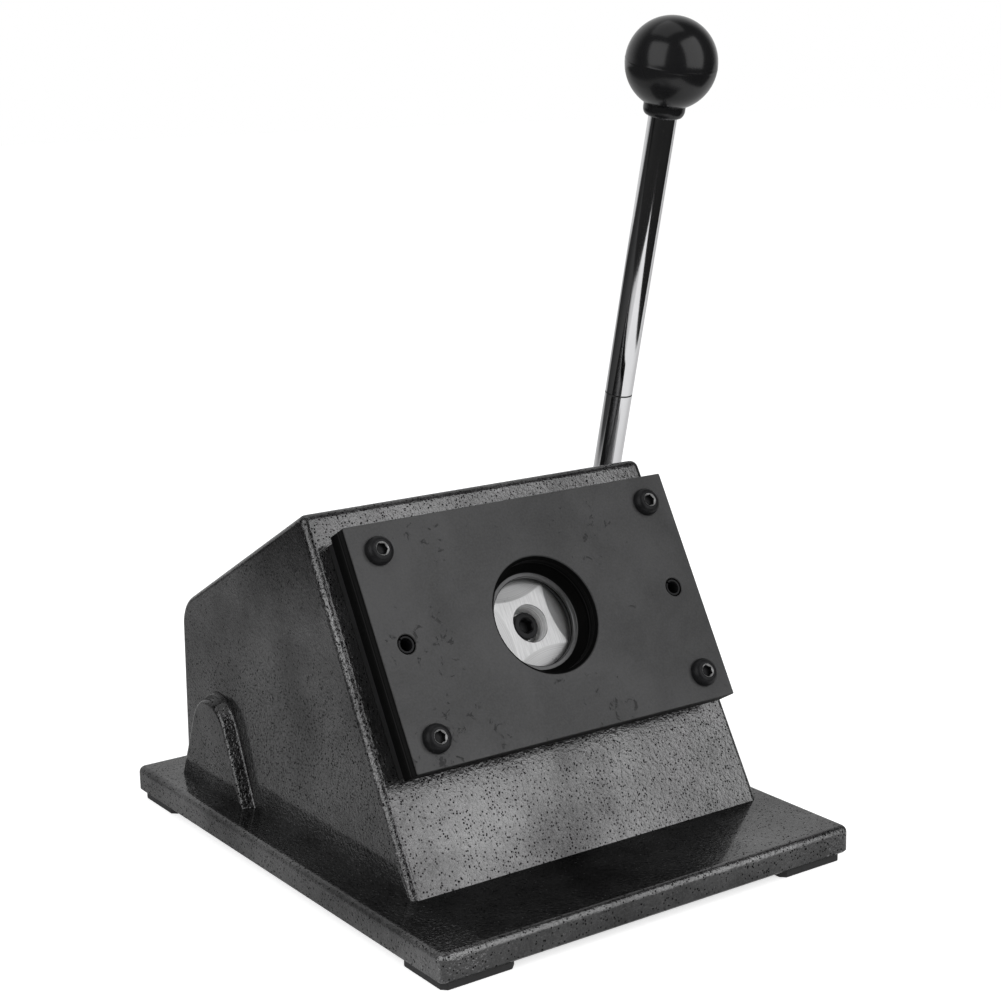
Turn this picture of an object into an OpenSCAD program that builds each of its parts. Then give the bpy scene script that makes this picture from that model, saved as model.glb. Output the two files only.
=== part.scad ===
// Hand-lever badge punch: a cast housing with a slanted die face on a flat base plate.
// The lever turns a cross shaft, whose eccentric cam drives a ram and a round punch
// straight out through the die, so a disc is cut from the paper held in the slot.
// Millimetres, +X right, +Y back, +Z up. The origin is the middle of the machine's
// footprint, cross shaft hub included, on the surface that it stands on.

/* [Base] */
// Width of the base plate, left to right
base_w = 178; // [174:1:200]
// Depth of the base plate, front to back
base_d = 220; // [214:1:260]
// Thickness of the base plate
base_t = 10; // [9:0.5:14]
// Radius of the base plate's upright corners
base_corner_r = 3; // [3:0.5:10]
// Rounding of the base plate's top edge
base_edge_r = 2.5; // [1:0.5:2.5]
// Width of a rubber foot, left to right
foot_w = 29; // [20:1:32]
// Depth of a rubber foot, front to back
foot_d = 25; // [20:1:32]
// Height of a rubber foot
foot_h = 3.5; // [3:0.5:8]
// Set-back of each foot from the base plate's edges
foot_inset = 2; // [0:0.5:5]

/* [Housing] */
// Width of the housing where it stands on the base
housing_w = 154.4; // [151:0.2:160]
// Depth of the housing where it stands on the base
housing_d = 166; // [164:1:172]
// Bare base plate in front of the housing
front_margin = 40; // [30:1:44]
// How far the housing stands to the right of the base plate's middle
housing_shift = 3.5; // [0:0.1:6]
// Height of the ridge above the base plate
ridge_h = 120.6; // [119:0.2:124]
// How far the ridge stands back from the housing's front edge
ridge_back = 68.4; // [67:0.1:70]
// Height of the rear wall above the base plate
rear_h = 67.4; // [66:0.1:80]
// Lean of each side wall inwards, from the base plate up to the ridge
side_lean = 2; // [1.2:0.1:3.4]
// Rounding of the housing's edges
housing_edge_r = 3; // [2:0.5:3.5]
// Rounding between the roof and the rear wall
rear_edge_r = 14; // [4:1:16]
// Thickness of the side walls where they stand on the base
side_wall = 7.5; // [7:0.5:8.5]
// Thickness of the slanted front wall
front_wall = 10; // [8:0.5:12]
// Thickness of the roof and of the rear wall
roof_wall = 7; // [5:0.5:7.5]

/* [Die set] */
// Width of the die plate
plate_w = 140; // [138:1:142]
// Height of the die plate, up the slope
plate_h = 88; // [84:1:90]
// Thickness of the die plate
die_plate_t = 10; // [9:0.5:14]
// Opening of the paper slot between the plates
slot_gap = 1.2; // [0.8:0.1:2]
// Thickness of the guide plate behind the slot
guide_plate_t = 4.4; // [4:0.2:7]
// How much smaller the guide plate is than the die plate, on each edge
guide_plate_inset = 1.5; // [0:0.5:3]
// Width of each spacer at the ends of the slot
spacer_w = 16; // [14:1:20]
// Distance between the plate screws, across
plate_screw_x = 118; // [116:1:120]
// Distance between the plate screws, up the slope
plate_screw_y = 67.5; // [60:0.5:68]
// Diameter of the window through the die plate
window_d = 41.7; // [40:0.1:46]
// Chamfer round the window's front edge
window_chamfer = 1.4; // [0.4:0.2:2]
// Outer diameter of the die ring
die_ring_d = 50; // [48:1:60]
// Thickness of the die ring
die_ring_t = 4.5; // [4:0.5:6]
// Width of the flat round the cutting edge, inside the ring's funnel
relief_gap = 1.5; // [1:0.1:2]
// Height of that flat above the back of the ring
relief_len = 1.4; // [1:0.2:3]

/* [Punch and ram] */
// Diameter of the punch, and of the discs it cuts
punch_d = 33.2; // [31:0.1:34]
// Length of the punch
punch_len = 16; // [13:1:20]
// How far the punch's face rests behind the slot
punch_rest = 0.2; // [0.1:0.1:0.4]
// Diameter of the ram
ram_d = 40; // [36:1:42]
// Length of the ram's guide bush, from the housing's front face
guide_len = 50; // [40:1:54]
// Wall of the ram's guide bush
guide_bush_wall = 4; // [3:0.5:5]
// Width of the ram's rear end and of its yoke
yoke_w = 34; // [32:1:36]
// Thickness of the bar behind the cam
yoke_bar = 5; // [4:0.5:5.5]

/* [Drive] */
// Diameter of the cross shaft
shaft_d = 14; // [12:0.5:14.5]
// Height of the cross shaft's axis above the base plate
shaft_rise = 18.4; // [17:0.1:20]
// Gap between the ram's rear end at rest and the housing's rear wall
rear_gap = 1.2; // [0.8:0.1:3]
// Distance of the cam's middle from the shaft's axis
cam_throw = 4; // [3:0.1:4.2]
// Diameter of the cam
cam_d = 25; // [24:0.5:25.5]
// Width of the cam
cam_w = 22; // [18:1:22]
// Radial wall of the shaft's bushes
shaft_bush_wall = 4; // [3:0.5:4.5]
// How far each bearing boss stands out from the housing's side
boss_out = 5; // [4:0.5:8]
// Radius of the arched top of the bearing bosses
boss_r = 15; // [14:0.5:17]
// Half width of the bearing bosses where they stand on the base
boss_flank = 26; // [22:1:28]

/* [Lever] */
// Lean of the lever towards the front at rest, from upright
lever_lean = 14.3; // [10:0.1:16]
// Swing of the lever from rest down to its lower stop
lever_swing = 66; // [60:1:68]
// Distance from the shaft's axis to the knob's centre
lever_len = 260; // [240:1:320]
// Distance from the shaft's axis to the joint between the two lever rods
rod_joint = 125; // [110:1:180]
// Diameter of the lever rods
rod_d = 11.2; // [10:0.1:13]
// Diameter of the ball knob
knob_d = 35.5; // [32:0.5:45]
// Diameter of the collar under the knob
knob_collar_d = 16.3; // [15.5:0.1:20]
// Diameter of the lever's hub
hub_d = 32; // [30:1:33]
// Length of the lever's hub
hub_len = 24; // [22:1:32]
// Diameter of the two stop pins
stop_pin_d = 8; // [6:0.5:9]

/* [Hidden] */
$fn = 64;

// Clearances
sliding = 0.05;      // radial, between a shaft or ram and its bush
free_gap = 0.3;      // between parts that move past each other
cut = 1;             // how far a cutting tool runs past a face

// Screws: shank, head diameter, head height, socket across its flats
m4 = [4, 7.5, 2.4, 2.5];
m5 = [5, 8.5, 5, 4];
m6_button = [6, 10.5, 3.3, 4];
m6_cap = [6, 10, 6, 5];
m8_cap = [8, 13, 8, 6];
hole_gap = 0.4;      // added to a shank's diameter for a clearance hole
head_gap = 1;        // added to a head's diameter for its counterbore
plate_screw_bite = 14;
punch_screw_bite = 12;
punch_screw_sink = 2.8;
punch_counterbore_d = 14.2;
hub_screw_bite = 13;
guide_screw_bite = 7.5;
guide_screw_inset = 4.7;
guide_boss_wall = 8;
bearing_boss_wall = 6;
spring_pin_d = 7;
spring_pin_bore = 4.8;
spring_pin_bite = 8;

slope = atan2(ridge_h, ridge_back);
base_top = foot_h + base_t;
face_y = -base_d / 2 + front_margin;
lean_rate = side_lean / ridge_h;
function half_w(z) = housing_w / 2 - lean_rate * z;

// Stack on the face, measured outwards from it
slot_back = guide_plate_t;
slot_front = slot_back + slot_gap;
plate_front = slot_front + die_plate_t;
punch_face = slot_back - punch_rest;
punch_back = punch_face - punch_len;

// The cam's middle as seen from the cross shaft, up the slope and outwards
cam_angle = -lever_swing / 2;
cam_y = cam_throw * cos(cam_angle);
cam_lift = cam_throw * sin(cam_angle);

// The yoke's arms pass over the shaft, and its rear end reaches this far behind the shaft
arm_low = shaft_d / 2 + 1;
arm_corner = 1.5;
yoke_reach = (arm_low + arm_corner) * cos(slope)
    + (cam_d / 2 + free_gap + yoke_bar - cam_lift) * sin(slope);

// The shaft stands clear of the rear wall. The die plate's middle is where the square
// from the shaft's axis meets the slanted face.
shaft_in = housing_d - roof_wall - rear_gap - yoke_reach;
plate_rise = shaft_in * cos(slope) + shaft_rise * sin(slope);
shaft_back = shaft_in * sin(slope) - shaft_rise * cos(slope);
shaft_y = face_y + shaft_in;
shaft_z = base_top + shaft_rise;
axis_y = face_y + plate_rise * cos(slope);
axis_z = base_top + plate_rise * sin(slope);

// Drive, across the housing and hub
wall_inside = housing_w / 2 - side_wall;
shaft_bush_in = 20;
bush_inside = wall_inside - shaft_bush_in;
boss_face = half_w(shaft_z - base_top) + boss_out;
shaft_bush_d = shaft_d + 2 * sliding + 2 * shaft_bush_wall;
washer_t = 1;
hub_start = boss_face + washer_t + sliding;
lever_x = hub_start + hub_len / 2;
hub_stop = hub_start + hub_len;
end_washer_t = 2;
shaft_left = -half_w(shaft_z - base_top) + 1;
shaft_right = hub_stop - end_washer_t - m6_button[2] - sliding;
blind_end = shaft_left - 0.5;
cam_z = -shaft_back + cam_lift;
shaft_key = 5;

// Lever, measured along the rod from the shaft's axis
rod_sink = 3;
rod_chamfer = 0.6;
rod_seat = hub_d / 2 - rod_sink;
rod_stud_d = 8;
rod_stud_end = shaft_d / 2 + 1;
knob_r = knob_d / 2;
knob_collar_h = 2.6;
knob_cup_h = 3;
knob_neck = lever_len - knob_r - knob_collar_h;
insert_d = 12.6;
insert_len = 18;

// The knob or the hub is the machine's right-hand end, and the base plate its left-hand end
base_x = -(housing_shift + max(hub_stop, lever_x + knob_r) - base_w / 2) / 2;
housing_x = base_x + housing_shift;

// Stop pins, at these distances along the lever from the shaft's axis
upper_stop_at = 54;
lower_stop_at = 66;
stop_offset = rod_d / 2 + stop_pin_d / 2 + free_gap;
stop_reach = lever_x + rod_d / 2 + 3;
stop_stud_d = 6;

housing_screw_x = wall_inside - 9;
housing_screw_front = 42;
housing_screw_rear = housing_d - roof_wall - 10;
housing_post_d = 20;
housing_post_h = shaft_z - base_top - shaft_d / 2 - 1;
housing_screw_bite = housing_post_h - 1.5;
foot_x = base_w / 2 - foot_inset - foot_w / 2;
foot_y = base_d / 2 - foot_inset - foot_d / 2;

// ---- places ----

// Origin on the slanted face, on the punch's axis, +Z outwards and +Y up the slope
module on_face() {
    translate([housing_x, axis_y, axis_z]) rotate([slope, 0, 0]) children();
}

// Origin on the cross shaft's axis, level
module on_shaft() {
    translate([housing_x, shaft_y, shaft_z]) children();
}

// Origin on the shaft's axis in the lever's plane, +Z along the lever when it leans forward
module on_lever(lean = lever_lean) {
    on_shaft() translate([lever_x, 0, 0]) rotate([lean, 0, 0]) children();
}

module at_feet() {
    for (sx = [-1, 1], sy = [-1, 1]) translate([base_x + sx * foot_x, sy * foot_y, 0]) children();
}

module at_housing_screws() {
    for (sx = [-1, 1], y = [housing_screw_front, housing_screw_rear])
        translate([housing_x + sx * housing_screw_x, face_y + y, 0]) children();
}

module at_plate_screws() {
    for (sx = [-1, 1], sy = [-1, 1])
        translate([sx * plate_screw_x / 2, sy * plate_screw_y / 2, 0]) children();
}

module at_spring_pins() {
    for (sx = [-1, 1]) translate([sx * plate_screw_x / 2, 0, 0]) children();
}

module at_guide_screws() {
    for (a = [90, 210, 330]) rotate([0, 0, a])
        translate([guide_flange_d / 2 - guide_screw_inset, 0, 0]) children();
}

// ---- shared shapes ----

// Cylinder along X between two places
module bar_x(from, to, d) {
    translate([from, 0, 0]) rotate([0, 90, 0]) cylinder(d = d, h = to - from);
}

// Screw with its head's underside at z = 0, its shank pointing down
module socket_screw(size, len) {
    difference() {
        union() {
            translate([0, 0, -len]) cylinder(d = size[0], h = len);
            cylinder(d = size[1], h = size[2]);
        }
        translate([0, 0, size[2] * 0.45]) cylinder(d = size[3] / cos(30), h = size[2], $fn = 6);
    }
}

// Domed head: a flat top ring round the socket, falling in an arc to the rim
module button_screw(size, len) {
    head_r = size[1] / 2;
    top_r = size[3] / 2 + 1;
    dome = [for (a = [0:15:90]) [top_r + (head_r - top_r) * sin(a), 0.6 + (size[2] - 0.6) * cos(a)]];
    difference() {
        union() {
            translate([0, 0, -len]) cylinder(d = size[0], h = len);
            rotate_extrude() polygon(concat([[0, 0], [0, size[2]]], dome, [[head_r, 0]]));
        }
        translate([0, 0, size[2] * 0.35]) cylinder(d = size[3] / cos(30), h = size[2], $fn = 6);
    }
}

module plain_plate(w, h, t) {
    translate([-w / 2, -h / 2, 0]) cube([w, h, t]);
}

// ---- base ----

// Upright corner post of the base, with its top edge rounded
module base_corner() {
    arc = [for (a = [0:15:90])
        [base_corner_r - base_edge_r + base_edge_r * cos(a), base_t - base_edge_r + base_edge_r * sin(a)]];
    rotate_extrude($fn = 32) polygon(concat([[0, 0], [base_corner_r, 0]], arc, [[0, base_t]]));
}

module base_plate() {
    color([0.07, 0.07, 0.075]) difference() {
        translate([base_x, 0, foot_h]) hull()
            for (sx = [-1, 1], sy = [-1, 1])
                translate([sx * (base_w / 2 - base_corner_r), sy * (base_d / 2 - base_corner_r), 0])
                    base_corner();
        at_housing_screws() {
            cylinder(d = m8_cap[0] + hole_gap, h = base_top + cut);
            cylinder(d = m8_cap[1] + head_gap, h = base_top - (base_t - m8_cap[2]) + free_gap);
        }
        at_feet() cylinder(d = m4[0], h = base_top - 2);
    }
}

// Rubber pad with its corners cut off and a recess for its screw
module foot() {
    c = 2;
    w = foot_w / 2;
    d = foot_d / 2;
    difference() {
        linear_extrude(foot_h) polygon([
            [-w + c, -d], [w - c, -d], [w, -d + c], [w, d - c],
            [w - c, d], [-w + c, d], [-w, d - c], [-w, -d + c]]);
        translate([0, 0, -cut]) cylinder(d = m4[0] + hole_gap, h = foot_h + 2 * cut);
        translate([0, 0, -cut]) cylinder(d = m4[1] + head_gap, h = foot_h - foot_floor + cut);
    }
}
foot_floor = 1;

module foot_at(sx, sy) {
    color([0.04, 0.04, 0.04]) translate([base_x + sx * foot_x, sy * foot_y, 0]) foot();
}

module foot_screws() {
    color([0.1, 0.1, 0.1]) at_feet() translate([0, 0, foot_h - foot_floor]) mirror([0, 0, 1])
        difference() {
            union() {
                cylinder(d = m4[1], h = min(m4[2], foot_h - foot_floor - 0.3));
                translate([0, 0, -foot_floor - base_t + 3]) cylinder(d = m4[0], h = foot_floor + base_t - 3);
            }
            translate([0, 0, 0.8]) cylinder(d = m4[3] / cos(30), h = m4[2], $fn = 6);
        }
}

// ---- housing ----

// Centre of a circle of radius r that touches both sides of the corner q from inside
function nested(p, q, s, r) =
    let (a = (p - q) / norm(p - q), b = (s - q) / norm(s - q), m = (a + b) / norm(a + b))
        q + m * r / sin(acos(a * b) / 2);

// Side outline, y back from the front edge and z up from the base, run on below the base
sink = 12;
outline = [
    [-sink / tan(slope), -sink], [ridge_back, ridge_h], [housing_d, rear_h], [housing_d, -sink]];
function out(i) = outline[(i + 4) % 4];
function corner_centre(i, r) = nested(out(i - 1), out(i), out(i + 1), r);

// Rounded corner of the housing's skin: a ball, or a wheel with a rounded rim for a larger radius
module skin_corner(i, r, side) {
    c = corner_centre(i, r);
    translate([side * (half_w(c[1]) - housing_edge_r), c[0], c[1]]) rotate([0, 90, 0])
        rotate_extrude($fn = 32) {
            translate([max(0, r - housing_edge_r), 0]) intersection() {
                circle(r = housing_edge_r, $fn = 32);
                translate([0, -2 * housing_edge_r]) square(4 * housing_edge_r);
            }
            if (r > housing_edge_r)
                translate([0, -housing_edge_r]) square([r - housing_edge_r, 2 * housing_edge_r]);
        }
}

module skin() {
    translate([housing_x, face_y, base_top]) hull() for (side = [-1, 1]) {
        for (i = [0, 1, 3]) skin_corner(i, housing_edge_r, side);
        skin_corner(2, rear_edge_r, side);
    }
}

// Inside of the housing, open at the bottom
module cavity() {
    front_shift = front_wall / sin(slope);
    roof_slope = atan2(ridge_h - rear_h, housing_d - ridge_back);
    roof_drop = roof_wall / cos(roof_slope);
    inner_back = housing_d - roof_wall;
    run = (ridge_h - roof_drop + front_shift * tan(slope) + ridge_back * tan(roof_slope))
        / (tan(slope) + tan(roof_slope));
    translate([housing_x - wall_inside, face_y, base_top]) rotate([90, 0, 90])
        linear_extrude(2 * wall_inside) polygon([
            [front_shift - cut / tan(slope), -cut],
            [run, (run - front_shift) * tan(slope)],
            [inner_back, ridge_h - roof_drop - (inner_back - ridge_back) * tan(roof_slope)],
            [inner_back, -cut]]);
}

// Arched boss outline in the shaft's own place, y back and z up, standing on the base
module arch(trim) {
    rise = 3.6;
    r = boss_r - trim;
    flank = boss_flank - trim;
    foot_z = base_top - shaft_z;
    t = atan2(foot_z - rise, flank) + acos(r / norm([flank, foot_z - rise]));
    translate([0, rise]) circle(r = r);
    polygon([
        [-flank, foot_z - sink], [-flank, foot_z], [-r * cos(t), rise + r * sin(t)],
        [r * cos(t), rise + r * sin(t)], [flank, foot_z], [flank, foot_z - sink]]);
}

module boss(side) {
    rim = 1.6;
    start = half_w(shaft_z - base_top) - 3;
    on_shaft() mirror([side < 0 ? 1 : 0, 0, 0]) rotate([90, 0, 90]) hull() {
        translate([0, 0, start]) linear_extrude(boss_face - rim - start) arch(0);
        translate([0, 0, boss_face - rim]) linear_extrude(rim) arch(rim);
    }
}

guide_flange_d = ram_d + 2 * guide_bush_wall + 18;
guide_flange_t = 4;
guide_bush_d = ram_d + 2 * sliding + 2 * guide_bush_wall;

module housing() {
    color([0.09, 0.09, 0.095]) difference() {
        union() {
            difference() {
                skin();
                cavity();
            }
            // Rear half of the ram's guide, the bearing bosses and the screw posts
            on_face() translate([0, 0, -guide_len])
                cylinder(d = guide_bush_d + 2 * guide_boss_wall, h = guide_len - guide_flange_t);
            for (side = [-1, 1]) {
                boss(side);
                on_shaft() rotate([0, side * 90, 0]) translate([0, 0, bush_inside])
                    cylinder(d = shaft_bush_d + 2 * bearing_boss_wall, h = wall_inside + 1 - bush_inside);
            }
            at_housing_screws() translate([0, 0, base_top - sink])
                cylinder(d = housing_post_d, h = sink + housing_post_h);
        }
        // Level underside
        translate([-base_w, -base_d, base_top - 2 * sink]) cube([2 * base_w, 2 * base_d, 2 * sink]);
        on_face() {
            translate([0, 0, -guide_len - cut]) cylinder(d = guide_bush_d, h = guide_len + 2 * cut);
            translate([0, 0, -guide_flange_t]) cylinder(d = guide_flange_d, h = guide_flange_t + cut);
            at_guide_screws() translate([0, 0, -m5_head_sink - guide_screw_bite - 0.5])
                cylinder(d = m5[0], h = guide_screw_bite);
            at_plate_screws() translate([0, 0, -plate_screw_bite])
                cylinder(d = m6_button[0], h = plate_screw_bite + cut);
            at_spring_pins() translate([0, 0, -spring_pin_bite])
                cylinder(d = spring_pin_d, h = spring_pin_bite + cut);
        }
        on_shaft() {
            bar_x(blind_end, -bush_inside + cut, shaft_bush_d);
            bar_x(bush_inside - cut, boss_face + cut, shaft_bush_d);
        }
        at_housing_screws() translate([0, 0, base_top - cut])
            cylinder(d = m8_cap[0], h = housing_screw_bite + 0.5 + cut);
        stop_at(lever_lean, upper_stop_at, stop_offset) bar_x(wall_inside - 6, housing_w, stop_stud_d);
        stop_at(lever_lean + lever_swing, lower_stop_at, -stop_offset)
            bar_x(wall_inside - 6, housing_w, stop_stud_d);
    }
}

module housing_screws() {
    color([0.1, 0.1, 0.1]) at_housing_screws()
        translate([0, 0, base_top - (base_t - m8_cap[2]) + free_gap]) mirror([0, 0, 1])
            socket_screw(m8_cap, base_t - m8_cap[2] - free_gap + housing_screw_bite);
}

// ---- ram guide ----

module ram_guide_bush() {
    color([0.72, 0.53, 0.26]) on_face() difference() {
        union() {
            translate([0, 0, -guide_len]) cylinder(d = guide_bush_d, h = guide_len);
            translate([0, 0, -guide_flange_t]) cylinder(d = guide_flange_d, h = guide_flange_t);
        }
        translate([0, 0, -guide_len - cut]) cylinder(d = ram_d + 2 * sliding, h = guide_len + 2 * cut);
        at_guide_screws() translate([0, 0, -guide_flange_t - cut]) cylinder(d = m5[0] + hole_gap, h = 9);
        at_guide_screws() translate([0, 0, -m5_head_sink])
            cylinder(d = m5_head + hole_gap, h = m5_head_sink + cut);
    }
}
m5_head = 8.5;
m5_head_sink = 2.6;

module guide_bush_screws() {
    color([0.12, 0.12, 0.12]) on_face() at_guide_screws() translate([0, 0, -m5_head_sink]) difference() {
        union() {
            translate([0, 0, -guide_screw_bite]) cylinder(d = m5[0], h = guide_screw_bite);
            cylinder(d = m5_head, h = m5_head_sink - 0.3);
        }
        translate([0, 0, 0.8]) cylinder(d = m5[3] / cos(30), h = 3, $fn = 6);
    }
}

// ---- die set ----

module plate_holes(height) {
    at_plate_screws() translate([0, 0, -cut]) cylinder(d = m6_button[0] + hole_gap, h = height + 2 * cut);
    at_spring_pins() translate([0, 0, -cut]) cylinder(d = spring_pin_d, h = height + 2 * cut);
}

module guide_plate() {
    color([0.06, 0.06, 0.065]) on_face() difference() {
        plain_plate(plate_w - 2 * guide_plate_inset, plate_h - 2 * guide_plate_inset, guide_plate_t);
        translate([0, 0, -cut]) cylinder(d = punch_d + 2 * sliding, h = guide_plate_t + 2 * cut);
        plate_holes(guide_plate_t);
    }
}

// Strip at one end of the slot; the paper passes between the two strips
module slot_spacer(side) {
    color([0.5, 0.5, 0.52]) on_face() translate([0, 0, slot_back]) difference() {
        translate([side * (plate_w / 2 - guide_plate_inset - spacer_w / 2), 0, 0])
            plain_plate(spacer_w, plate_h - 2 * guide_plate_inset, slot_gap);
        plate_holes(slot_gap);
    }
}

module die_ring() {
    edge_d = punch_d + 2 * sliding;
    relief_d = edge_d + 2 * relief_gap;
    color([0.3, 0.3, 0.31]) on_face() translate([0, 0, slot_front]) rotate_extrude() polygon([
        [edge_d / 2, 0], [die_ring_d / 2, 0], [die_ring_d / 2, die_ring_t],
        [max(window_d, relief_d) / 2, die_ring_t], [relief_d / 2, relief_len],
        [edge_d / 2 + 0.3, relief_len], [edge_d / 2, relief_len - 0.3]]);
}

module die_plate() {
    color([0.2, 0.2, 0.205]) on_face() translate([0, 0, slot_front]) difference() {
        plain_plate(plate_w, plate_h, die_plate_t);
        translate([0, 0, -cut]) cylinder(d = window_d, h = die_plate_t + 2 * cut);
        translate([0, 0, -cut]) cylinder(d = die_ring_d, h = die_ring_t + cut);
        translate([0, 0, die_plate_t - window_chamfer])
            cylinder(d1 = window_d, d2 = window_d + 4 * window_chamfer, h = 2 * window_chamfer);
        plate_holes(die_plate_t);
    }
}

module plate_screws() {
    color([0.08, 0.08, 0.08]) on_face() translate([0, 0, plate_front]) at_plate_screws()
        button_screw(m6_button, plate_front + plate_screw_bite - 1);
}

// Rolled pins with a slit along them; they line the plates up
module spring_pins() {
    len = plate_front + spring_pin_bite - 1.5;
    color([0.12, 0.12, 0.12]) on_face() at_spring_pins() translate([0, 0, -spring_pin_bite + 1])
        difference() {
            cylinder(d = spring_pin_d, h = len);
            translate([0, 0, -cut]) cylinder(d = spring_pin_bore, h = len + 2 * cut);
            rotate([0, 0, 130]) translate([0, -0.5, -cut]) cube([spring_pin_d, 1, len + 2 * cut]);
        }
}

// ---- punch and ram ----

// Four hollow-ground reliefs leave a land with four points on the punch's rim
relief_sag = 2;
relief_depth = 1.2;
relief_turn = 9;
module punch() {
    chord = punch_d / 2 * sin(45);
    land_r = (chord * chord + relief_sag * relief_sag) / (2 * relief_sag);
    land_from = chord - relief_sag;
    reach = punch_d / 2 - land_from;
    ball_h = (land_r * reach - reach * reach / 2) / relief_depth;
    ball_r = norm([land_r, ball_h]);
    color([0.82, 0.82, 0.83]) on_face() difference() {
        translate([0, 0, punch_back]) cylinder(d = punch_d, h = punch_len);
        for (a = [0:90:270]) rotate([0, 0, a + relief_turn])
            translate([land_from + land_r, 0, punch_face + ball_h]) sphere(r = ball_r, $fn = 96);
        translate([0, 0, punch_back - cut]) cylinder(d = m6_cap[0] + hole_gap, h = punch_len + 2 * cut);
        translate([0, 0, punch_face - punch_screw_sink - m6_cap[2]])
            cylinder(d = punch_counterbore_d, h = punch_screw_sink + m6_cap[2] + cut);
    }
}

module punch_screw() {
    under = punch_face - punch_screw_sink - m6_cap[2];
    color([0.08, 0.08, 0.08]) on_face() translate([0, 0, under])
        socket_screw(m6_cap, under - punch_back + punch_screw_bite);
}

// Round ram whose rear end is a yoke: a face ahead of the cam and a bar behind it,
// joined by an arm on each side that passes over the cross shaft
module ram() {
    face_ahead = cam_z + cam_d / 2 + free_gap;
    face_behind = cam_z - cam_d / 2 - free_gap;
    round_end = -guide_len - cam_throw * 2 - 18;
    arm_t = (yoke_w - cam_w - 2 * free_gap) / 2;
    arm_top = arm_low + 5.5;
    bar_low = cam_y - 6;
    color([0.55, 0.55, 0.56]) on_face() difference() {
        union() {
            translate([0, 0, round_end]) cylinder(d = ram_d, h = punch_back - round_end);
            translate([-yoke_w / 2, -10, face_ahead])
                cube([yoke_w, 10 + arm_top, round_end + 5 - face_ahead]);
            // Side arms, seen along X, with the corner that passes under the rear wall cut off
            for (side = [-1, 1])
                translate([side * (yoke_w - arm_t) / 2 - arm_t / 2, 0, 0]) rotate([90, 0, 90])
                    linear_extrude(arm_t) polygon([
                        [arm_low, face_ahead + 2], [arm_low, face_behind - yoke_bar],
                        [arm_low + arm_corner, face_behind - yoke_bar], [arm_top, face_behind],
                        [arm_top, face_ahead + 2]]);
            translate([-yoke_w / 2, bar_low, face_behind - yoke_bar])
                cube([yoke_w, arm_low + 1 - bar_low, yoke_bar]);
        }
        translate([0, 0, punch_back - punch_screw_bite - 2])
            cylinder(d = m6_cap[0], h = punch_screw_bite + 2 + cut);
    }
}

// ---- cross shaft ----

module shaft_bush(from, to) {
    color([0.72, 0.53, 0.26]) on_shaft() difference() {
        bar_x(from, to, shaft_bush_d);
        bar_x(from - cut, to + cut, shaft_d + 2 * sliding);
    }
}

// Keyway in the shaft or in the bore round it, on its upper side
module key_block(from, to, grow = 0) {
    translate([from - grow, -shaft_key / 2 - grow, shaft_d / 2 - 2.5])
        cube([to - from + 2 * grow, shaft_key + 2 * grow, 4.5 + grow]);
}

cam_key_half = cam_w / 2 - 3;
hub_key_from = hub_start + 2;
hub_key_to = lever_x - rod_stud_d / 2 - 1;

// Turns the keys with the cam's place, so that they lie clear of the rod's stud
module keyed(lean) {
    rotate([lean, 0, 0]) children();
}

module cross_shaft() {
    color([0.6, 0.6, 0.61]) on_shaft() difference() {
        bar_x(shaft_left, shaft_right, shaft_d);
        keyed(cam_turn) key_block(-cam_key_half, cam_key_half);
        keyed(hub_key_turn) key_block(hub_key_from, hub_key_to);
        bar_x(shaft_right - hub_screw_bite - 1, shaft_right + cut, m6_button[0]);
    }
}
// Turn about the shaft that brings +Z to the cam's heavy side, and the hub's key to the rear
cam_turn = slope + cam_angle - 90;
hub_key_turn = lever_lean + 180;

module cam() {
    color([0.62, 0.62, 0.63]) on_shaft() difference() {
        keyed(cam_turn) translate([0, 0, cam_throw]) bar_x(-cam_w / 2, cam_w / 2, cam_d);
        bar_x(-cam_w / 2 - cut, cam_w / 2 + cut, shaft_d);
        keyed(cam_turn) key_block(-cam_key_half, cam_key_half);
    }
}

module cam_key() {
    color([0.4, 0.4, 0.41]) on_shaft() keyed(cam_turn) key_block(-cam_key_half, cam_key_half);
}

collar_d = 26;
collar_w = 9;
module shaft_collar() {
    color([0.35, 0.35, 0.36]) on_shaft() difference() {
        bar_x(-bush_inside + free_gap, -bush_inside + free_gap + collar_w, collar_d);
        bar_x(-bush_inside, -bush_inside + collar_w + cut, shaft_d);
        translate([-bush_inside + free_gap + collar_w / 2, 0, 0]) cylinder(d = 5, h = collar_d);
    }
}

module collar_screw() {
    color([0.12, 0.12, 0.12]) on_shaft() translate([-bush_inside + free_gap + collar_w / 2, 0, shaft_d / 2])
        difference() {
            cylinder(d = 5, h = (collar_d - shaft_d) / 2 - 0.5);
            translate([0, 0, 2]) cylinder(d = 2.5 / cos(30), h = 5, $fn = 6);
        }
}

module thrust_washer() {
    color([0.72, 0.53, 0.26]) on_shaft() difference() {
        bar_x(boss_face, boss_face + washer_t, shaft_bush_d + 4);
        bar_x(boss_face - cut, boss_face + washer_t + cut, shaft_d + 2 * sliding);
    }
}

// ---- lever ----

module lever_hub() {
    color([0.75, 0.75, 0.76]) difference() {
        on_shaft() difference() {
            rim = 1;
            translate([hub_start, 0, 0]) rotate([0, 90, 0]) rotate_extrude() polygon([
                [0, 0], [hub_d / 2 - rim, 0], [hub_d / 2, rim], [hub_d / 2, hub_len - rim],
                [hub_d / 2 - rim, hub_len], [0, hub_len]]);
            bar_x(hub_start - cut, shaft_right, shaft_d);
            bar_x(shaft_right - 0.01, hub_stop + cut, shaft_d + 8);
            keyed(hub_key_turn) key_block(hub_key_from, hub_key_to);
        }
        on_lever() translate([0, 0, rod_stud_end]) cylinder(d = rod_stud_d, h = hub_d);
        on_lever() translate([0, 0, rod_seat]) cylinder(d = rod_d, h = hub_d);
    }
}

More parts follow.
